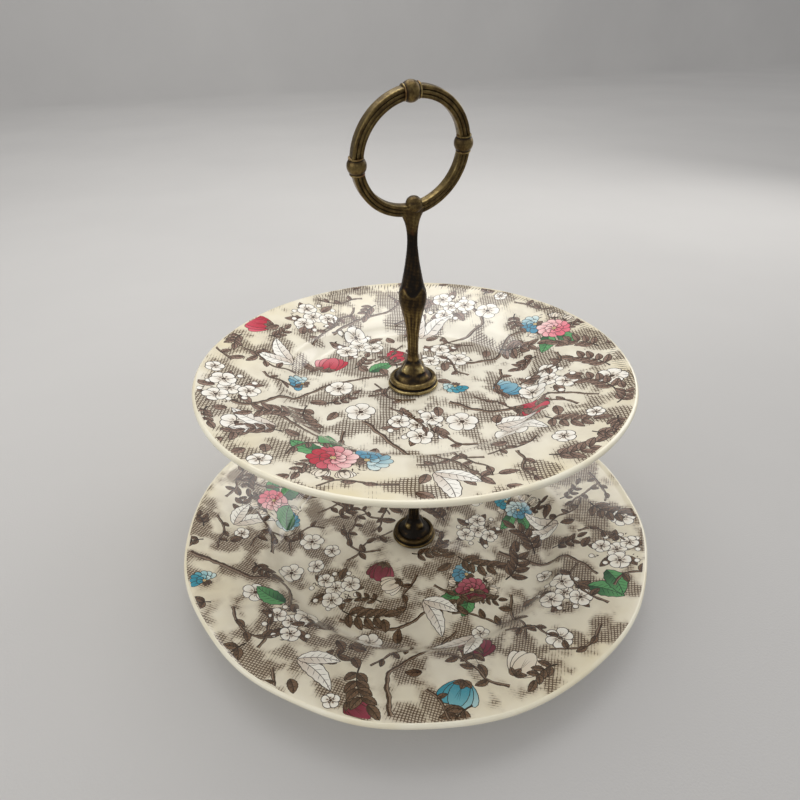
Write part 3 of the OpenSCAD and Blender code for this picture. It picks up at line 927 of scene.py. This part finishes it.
aged_brass.surface({
    "Base Color": aged_brass.mix(brass_tone, dye(128, 72, 44), copper),
    "Metallic": (1.0 - patina_and_shade * 0.25).held(),
    "Roughness": (0.20 + patina_and_shade * 0.26 + speck * 0.08).held(),
    "Normal": aged_brass.bumps(mottle * 0.7 + speck * 0.3, 0.12, 0.35),
})


def cast_foot(name, node, body, age_and_shade):
    """The foot's section runs up the beads, over into the sunk top and down its bore."""
    low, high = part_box(node)
    z, out_r, bore = low.z * 1000, high.x * 1000, 3.85
    thin, thick = 0.9, 1.5
    up_r = out_r - 0.8
    outline = [(out_r - thin - 1.2, z)]
    outline += [(out_r - thin + thin * math.cos(a), z + thin + thin * math.sin(a))
                for a in np.radians(np.arange(-84, 61, 12))]
    outline += [(out_r - 1.0 - 0.35 * math.sin(a), z + 2.25 + 0.55 * -math.cos(a))
                for a in np.radians(np.arange(20, 161, 20))]
    outline += [(up_r - thick + thick * math.cos(a), z + 5 - thick + thick * math.sin(a))
                for a in np.radians(np.arange(-30, 151, 9))]
    outline += [(up_r - 2 * thick + 0.05, z + 4.1), (up_r - 2 * thick - 0.3, z + 3.95),
                (7.0, z + 3.95), (bore, z + 3.95), (bore, z + 2), (bore, z), (8, z)]
    foot = turned(name, outline, 144, body, aged_brass, closed=True, smooth=50)

    def cast(x, y, z):
        a = np.arctan2(y, x)
        pull = 1 - (0.0022 * (1 + np.sin(5 * a + z) * np.sin(3 * a + 2 * z)))
        return x * pull, y * pull, z
    shaped(foot, cast)
    # darker all over by age_and_shade (painted shade under the upper plate on the spindle's foot, age on the
    # handle's), and darker again inside 9.4 mm, over the sunk top round the bell's base
    worn_hollows(foot, lambda x, y, z: age_and_shade + np.where(np.hypot(x, y) < 9.4, 0.40, 0.0))
    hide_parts(node)


# the spindle's foot is darker than the handle's: painted shade under the upper plate
cast_foot("spindle_foot_beads", "spindle_foot", "spindle", 0.32)

# ---------------------------------------------------------------- spindle stem
# A hollow-fluted casting, pressed and soldered onto the foot: a bell with four small scrolls,
# a slim neck, a shoulder wrapped in a calyx of four leaves, and a neck up to the collar.


def along(stations, t):
    """A smooth curve through stations: the first column is the place along the piece."""
    table_of = np.array(stations, float)
    s, values = table_of[:, 0], table_of[:, 1:]
    i = np.clip(np.searchsorted(s, t, side="right") - 1, 0, len(s) - 2)
    order = np.arange(len(s))
    before, after = np.maximum(order - 1, 0), np.minimum(order + 1, len(s) - 1)
    slopes = (values[after] - values[before]) / (s[after] - s[before])[:, None]
    h = (s[i + 1] - s[i])
    u = ((t - s[i]) / h)[:, None]
    h = h[:, None]
    return ((2 * u ** 3 - 3 * u ** 2 + 1) * values[i] + (u ** 3 - 2 * u ** 2 + u) * h * slopes[i]
            + (3 * u ** 2 - 2 * u ** 3) * values[i + 1] + (u ** 3 - u ** 2) * h * slopes[i + 1])


def fluted_stem(name, node, body, stations, bottom, top, turn, leaf_z, scroll_z, age_and_shade):
    """Turned to its mean section, then fluted in four and dressed with scrolls and leaves."""
    length = top - bottom
    heights = np.linspace(bottom, top, 170)
    rows = along(stations, (heights - bottom) / length)
    outline = [(max(row[0], 0.3), z) for row, z in zip(rows, heights)]
    stem = turned(name, outline, 144, body, aged_brass, smooth=60)

    def chased(x, y, z):
        a = np.arctan2(y, x)
        half, flute, ratio = along(stations, np.clip((z - bottom) / length, 0, 1)).T
        ridge = (1 - np.cos(4 * (a - turn))) / 2
        r = half * (1 - flute * 1.15 * (1 - ridge) ** 1.4)
        knob = np.exp(-((z - scroll_z) / 1.35) ** 2) * ridge ** 2.2
        r = r + 1.15 * knob - 0.75 * np.exp(-((z - scroll_z + 2.9) / 0.75) ** 2) * ridge
        r = r - 0.45 * np.exp(-((z - scroll_z - 2.6) / 0.9) ** 2) * ridge
        tip = leaf_z + 3.4 * ridge ** 1.2
        under_tip = ease((tip - z) / 0.45) * ease((z - leaf_z + 12) / 9)
        r = r + 0.42 * under_tip
        rib = ease((z - bottom - 0.13 * length) / 3) * ease((leaf_z - 4 - z) / 8)
        r = r - 0.16 * rib * (1 - np.cos(16 * (a - turn))) / 2
        pit = 0.05 * np.sin(9 * a + 1.7 * z) * np.sin(5 * a - 2.3 * z)
        on_axis = np.hypot(x, y) < 0.31
        r = np.where(on_axis, np.hypot(x, y), r + pit)
        return r * np.cos(a), r * np.sin(a) / ratio, z
    shaped(stem, chased)

    # darker from a little below the leaf tips up the neck to near the top, and over the bell's lowest 5.5 mm;
    # age_and_shade darkens the whole stem, which on the spindle is painted shade under the upper plate
    def darkening_at(x, y, z):
        upper = ease((z - leaf_z + 9) / 5) * ease((bottom + 0.93 * length - z) / 9)
        trough = ease((bottom + 5.5 - z) / 4)
        return 0.34 * upper + 0.30 * trough + age_and_shade
    worn_hollows(stem, darkening_at)
    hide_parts(node)


SPINDLE_STATIONS = (
    (0, 9.4, 0.00, 1), (0.035, 7.5, 0.08, 1), (0.07, 5.4, 0.12, 1), (0.11, 3.9, 0.14, 1),
    (0.17, 3.5, 0.14, 1), (0.28, 3.9, 0.12, 1), (0.38, 5.4, 0.08, 1), (0.47, 6.6, 0.05, 1),
    (0.56, 5.4, 0.08, 1), (0.66, 3.9, 0.12, 1), (0.78, 3.3, 0.14, 1), (0.89, 4.1, 0.08, 1),
    (0.96, 5.2, 0.04, 1), (1, 5.8, 0.00, 1))
spindle_low, spindle_high = (corner.z * 1000 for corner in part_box("spindle_stem"))
FLUTE_TURN = math.radians(65)
# the spindle's stem is darkened all over by 0.30: painted shade under the upper plate
fluted_stem("spindle_casting", "spindle_stem", "spindle", SPINDLE_STATIONS, spindle_low - 1.0,
            spindle_high, FLUTE_TURN, spindle_low + 45, spindle_low + 5.6, 0.30)

# ---------------------------------------------------------------- spindle collar
# A turned brass seat at the spindle's top, with a rounded lip that carries the upper plate.

collar_low, collar_high = (corner.z * 1000 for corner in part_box("spindle_collar"))
collar_outline = [(5.2, collar_low), (6.2, collar_low), (6.6, collar_low + 0.25), (7.6, collar_low + 1.1),
                  (9.2, collar_low + 1.6), (10.7, collar_low + 2.0)]
collar_outline += [(11 + math.cos(a), collar_high - 1 + math.sin(a))
                   for a in np.radians(np.arange(-75, 91, 15))]
collar_outline += [(8, collar_high), (2.7, collar_high), (2.7, collar_low + 2), (2.7, collar_low)]
collar = turned("spindle_top_collar", collar_outline, 144, "spindle", aged_brass,
                closed=True, smooth=45)
worn_hollows(collar)
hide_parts("spindle_collar")

# ---------------------------------------------------------------- inserts and stud
# Plain brass inserts are pressed into both feet. A zinc-plated stud stands out of the spindle,
# and the handle screws down on it; its thread is cut right-handed at 0.8 mm a turn.

plain_brass = Finish("plain_turned_brass")
turning = plain_brass.cloud(1.0, 3.0, 0.6, plain_brass.node(
    "ShaderNodeVectorMath", {"operation": "MULTIPLY"}, {0: plain_brass.place(), 1: (200, 200, 4000)}))
plain_brass.surface({"Base Color": plain_brass.mix(dye(214, 178, 104), dye(168, 132, 70), turning),
                     "Metallic": 1.0, "Roughness": (0.22 + turning * 0.2).held(),
                     "Normal": plain_brass.bumps(turning, 0.03, 0.3)})
for node in ("spindle_insert", "handle_insert"):
    recoloured(node, plain_brass)

stud_low, stud_high = (corner.z * 1000 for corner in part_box("spindle_stud"))
PITCH = 0.8
stud_rows = np.arange(stud_low + 0.1, stud_high - 0.55, PITCH / 6)
stud_outline = ([(2.1, stud_low)] + [(2.5, z) for z in stud_rows]
                + [(2.4, stud_high - 0.5), (1.9, stud_high)])
stud = turned("threaded_stud", stud_outline, 64, "spindle", zinc, smooth=180)


def threaded(x, y, z):
    turns = z / PITCH - np.arctan2(y, x) / (2 * math.pi)
    groove = np.abs((turns % 1.0) - 0.5) * 2
    cut = 1 - 0.16 * ease(groove * 1.15) * ease((stud_high - 0.5 - z) / 1.0)
    return x * cut, y * cut, z


shaped(stud, threaded)
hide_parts("spindle_stud")

# ---------------------------------------------------------------- upper plate and its felts
# An eight inch plate of the same ware and print, held between two felts on the stud, with a
# nylon bush in its drilled hole. Its rim is smoother than the lower plate's.

soft_disc("upper_under_felt", "spindle", felt)
recoloured("upper_bush", nylon)

upper_form = PlateForm("upper_plate", 57, 10, 4.5, 112.6, 9, 0.25)
upper_sheet = Sheet(upper_form, 5, (140, 114, 98), (88, 65, 52))
for stations, width in (
        ((polar(102, 170), polar(92, 173), polar(80, 178), polar(61, 169), polar(38, 152), polar(16, 116)), 2.0),
        ((polar(66, 108), polar(71, 90), polar(76, 74), polar(92, 66)), 1.6),
        ((polar(79, 178), polar(70, 188), polar(67, 200), polar(66, 211)), 1.6),
        ((polar(30, 20), polar(50, 6), polar(70, 12), polar(92, 4)), 1.8),
        ((polar(24, 290), polar(44, 300), polar(64, 318), polar(88, 316)), 1.8),
        ((polar(40, 210), polar(56, 240), polar(74, 256), polar(94, 262)), 1.7),
        ((polar(84, 40), polar(70, 30), polar(52, 40), polar(40, 56)), 1.6)):
    branch(upper_sheet, stations, width)
posy(upper_sheet, polar(78, 222), 5.4, CARMINE, PALE_PINK, BLUE, PALE_BLUE, 10.5)
posy(upper_sheet, polar(88, 4), 1.6, PINK, PALE_PINK, BLUE, PALE_BLUE, 9.0)
bud(upper_sheet, polar(47, 137), 1.0, 15, CARMINE, PALE_PINK)
bloom(upper_sheet, polar(56, 153), 7, BLUE, PALE_BLUE, 2.6, 10, 3.4)
bud(upper_sheet, polar(92, 124), 2.8, 15, CARMINE, PINK)
bud(upper_sheet, polar(31, 70), 2.8, 12, CARMINE, PINK)
green_leaf(upper_sheet, polar(26, 124), 0.2, 15, 3.8)
bloom(upper_sheet, polar(21, 330), 6.5, TURQUOISE, PALE_BLUE, 4.0, 10, 3.6)
bud(upper_sheet, polar(42, 324), 0.2, 13, BLUE, PALE_BLUE)
bud(upper_sheet, polar(54, 309), 5.5, 14, CARMINE, PINK)
for r, degrees in ((84, 108), (34, 36), (36, 247), (88, 168), (66, 330), (80, 48), (52, 100)):
    cluster(upper_sheet, polar(r, degrees), math.radians(degrees * 2), 5.8)
for r, degrees in ((35, 200), (40, 278), (90, 188), (94, 326), (62, 288), (82, 32), (37, 160)):
    blossom(upper_sheet, polar(r, degrees), 7.0, math.radians(degrees), 5)
for r, degrees, turn in ((76, 194, 2.6), (82, 250, 4.9), (52, 290, 5.6), (52, 60, 0.6), (64, 142, 2.0)):
    long_leaves(upper_sheet, polar(r, degrees), turn, 24)
for r, degrees, turn in ((90, 280, 5.6), (72, 58, 1.2), (60, 12, 5.0), (95, 318, 1.2), (95, 332, 1.4),
                         (96, 344, 1.6), (62, 188, 2.4), (70, 300, 4.9), (54, 175, 4.0)):
    spray(upper_sheet, polar(r, degrees), turn, 20, 7.5, pairs=4)
scattered(upper_sheet, 400, 7.5, lambda at, turn: wandering(
    upper_sheet, at, turn, upper_sheet.rng.uniform(24, 34), 1.0), 14, 96)
scattered(upper_sheet, 500, 7.0, lambda at, turn: spray(
    upper_sheet, at, turn, upper_sheet.rng.uniform(10, 15), upper_sheet.rng.uniform(4.5, 6.5)), 14, 99)
scattered(upper_sheet, 400, 6.5, lambda at, turn: blossom(
    upper_sheet, at, upper_sheet.rng.uniform(3.6, 5.2), turn), 14, 98)
scattered(upper_sheet, 400, 4.6, lambda at, turn: brown_leaf(
    upper_sheet, at, turn, upper_sheet.rng.uniform(6, 9), 2.0), 12, 101)
# short strokes that run in from the rim where the pattern's border was cut
for degrees in np.arange(-40, 100, 1.1):
    reach, edge = upper_sheet.rng.uniform(2.5, 6.5), upper_form.rim_r - 1
    upper_sheet.sliver(polar(edge, degrees), polar(edge - reach, degrees + 0.6), 0.5, TWIG)


def upper_drift(x, y, clear):
    halo = 1 - held((clear - 1.0) / 6)
    tone = held(0.32 + 2.0 * cloud_at(x, y, 15, 1.0) + 0.38 * halo)
    cross = held((tone - 0.45) * 2.0)
    return (tone, max(cross, tone * held(4 * cloud_at(x, y, 30, 5.0))),
            0.30 * held(tone * 1.5 - 0.5) + 0.25 * held(halo - 0.4))


upper_glaze = glaze("upper_print_glaze", 1.0, ((-24, 1.4, 0), (66, 1.45, 1)))
printed_face("upper_plate_print", upper_sheet, "upper_tier", "upper_plate", upper_glaze, upper_drift,
             (("centre", 70), ("border", 110)), 2.0)
upper_body = turned("upper_plate_body", upper_form.outline(), 360, "upper_tier",
                    plain_glaze, closed=True)
shaped(upper_body, upper_form.settle)
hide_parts("upper_plate")

soft_disc("upper_felt", "handle_seat", felt)

# ---------------------------------------------------------------- handle foot and stem
# The handle's foot is the same casting as the spindle's. The stem swells to a shoulder with
# four leaf tips, and its top opens into a fork that grips the ring.

cast_foot("handle_foot_beads", "handle_foot", "handle_seat", 0.12)

HANDLE_STATIONS = (
    (0, 9.4, 0.00, 1), (0.04, 7.5, 0.08, 1), (0.08, 5.3, 0.12, 1), (0.12, 3.5, 0.14, 1),
    (0.18, 3.0, 0.14, 1), (0.31, 3.6, 0.12, 1), (0.42, 5.3, 0.08, 1), (0.52, 6.4, 0.05, 1),
    (0.61, 5.1, 0.08, 1), (0.71, 3.6, 0.12, 1), (0.82, 2.6, 0.14, 1), (0.91, 3.4, 0.12, 1.2),
    (0.97, 5.6, 0.08, 1.9), (1, 7.0, 0.05, 2.2))
stem_low, stem_high = (corner.z * 1000 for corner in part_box("handle_stem"))
fluted_stem("handle_casting", "handle_stem", "handle", HANDLE_STATIONS, stem_low - 1.0, stem_high + 1.0,
            FLUTE_TURN, stem_low + 43.5, stem_low + 5.6, 0.0)

# ---------------------------------------------------------------- ring
# Brass bar drawn with three reeds and bent into a ring, which leans forwards and a little to the
# left. A ball is brazed where it meets the fork, and three beads grip the bar at sides and top.

RING_R, REED_R, REED_PITCH, RING_DEPTH = 23.4, 0.8, 1.55, 4.4
RING_BASE = stem_high
in_ring = (Matrix.Translation((0, 0, RING_BASE / 1000)) @ Matrix.Rotation(math.radians(12), 4, "X")
           @ Matrix.Rotation(math.radians(-6), 4, "Y") @ Matrix.Translation((0, 0, RING_R / 1000))
           @ Matrix.Rotation(math.radians(90), 4, "X"))

straight = RING_DEPTH / 2 - REED_R
reeds = []
for k in (1, 0, -1):
    reeds += [(RING_R + k * REED_PITCH + REED_R * math.cos(a), straight + REED_R * math.sin(a))
              for a in np.radians(np.arange(10 if k < 1 else 0, 171 if k > -1 else 181, 16))]
section = reeds + [(RING_R - 2.35, 0)] + [(r, -z) for r, z in reversed(reeds)] + [(RING_R + 2.35, 0)]
ring = turned("reeded_ring", section, 160, "handle", aged_brass, closed=True, smooth=50)
ring.data.transform(in_ring)
worn_hollows(ring, 0.10, 4)
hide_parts("handle_ring")

bead_outline = [(2.6, -3.5), (3.05, -3.45), (3.15, -3.1), (3.05, -2.85), (2.95, -2.75)]
BEAD_R = 3.98
bead_outline += [(BEAD_R * math.cos(a), BEAD_R * math.sin(a)) for a in np.radians(np.arange(-42, 43, 6))]
bead_outline += [(2.95, 2.75), (3.05, 2.85), (3.15, 3.1), (3.05, 3.45), (2.6, 3.5)]
for place, degrees in (("right", 0), ("top", 90), ("left", 180)):
    bead = turned("ring_bead_" + place, bead_outline, 64, "handle", aged_brass, smooth=50)
    collars = bead.data.attributes.new("coppery", "FLOAT", "POINT")
    collars.data.foreach_set("value", [float(ease((abs(v.co.z) * 1000 - 2.6) / 0.3))
                                       for v in bead.data.vertices])
    a = math.radians(degrees)
    bead.data.transform(in_ring @ Matrix.Rotation(a, 4, "Z") @ Matrix.Translation((RING_R / 1000, 0, 0))
                        @ Matrix.Rotation(math.radians(90), 4, "X"))
    worn_hollows(bead, 0.20, 6)
    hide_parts("ring_beads")

BALL_R = 3.8
ball_x, ball_y, ball_z = 0.5, -0.6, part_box("ring_boss")[1].z * 1000 - BALL_R
ball_outline = [(BALL_R * math.cos(a), BALL_R * math.sin(a)) for a in np.radians(np.arange(-80, 86, 6))]
ball = turned("brazed_ball", ball_outline, 64, "handle", aged_brass, smooth=60)


def dented(x, y, z):
    push = 1 - 0.03 * np.exp(-((z - 1.2) / 0.5) ** 2) - 0.02 * (1 + np.sin(3 * np.arctan2(y, x) + z))
    return x * push + ball_x, y * push + ball_y, z + ball_z


shaped(ball, dented)
worn_hollows(ball, 0.22, 6)
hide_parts("ring_boss")
